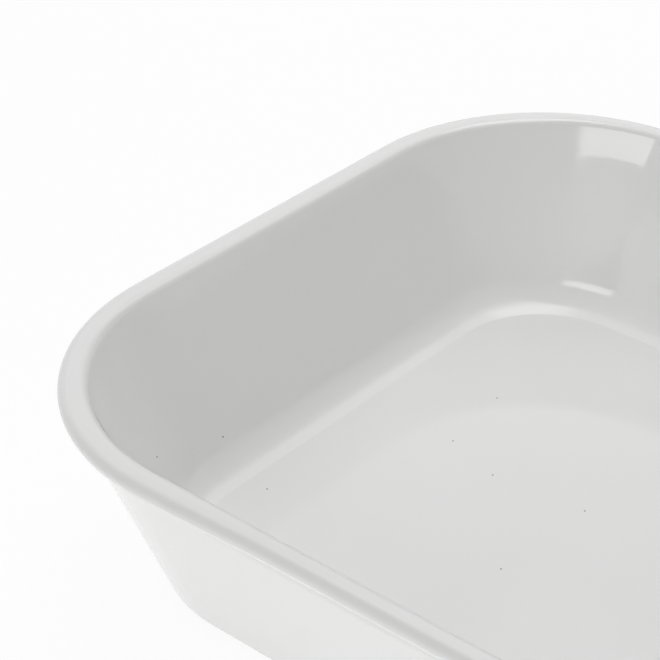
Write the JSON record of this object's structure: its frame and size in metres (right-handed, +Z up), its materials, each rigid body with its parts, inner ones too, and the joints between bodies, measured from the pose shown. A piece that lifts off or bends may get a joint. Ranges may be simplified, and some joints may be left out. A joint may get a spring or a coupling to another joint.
{
  "type": "baking dish",
  "caption": "Rectangular glazed ceramic baking dish with rounded corners, sloping walls, a rolled rim and a bare foot ring, open at the top to hold food in the oven.",
  "frame": {"origin": "on the table under the middle of the dish, level with the flat of the foot ring", "axes": "+X along the length, +Y along the width, +Z up out of the open top"},
  "size_m": [0.36, 0.25, 0.0655],
  "materials": {
    "bare_clay": "matt unglazed fired clay, off-white",
    "white_glaze": "smooth glossy white glaze",
    "underside_white_glaze": "glossy white glaze, thinner than the coat"
  },
  "bodies": {
    "root": {"ceramic_body": "bare_clay", "glaze_coat": "white_glaze", "underside_glaze": "underside_white_glaze"}
  },
  "joints": []
}
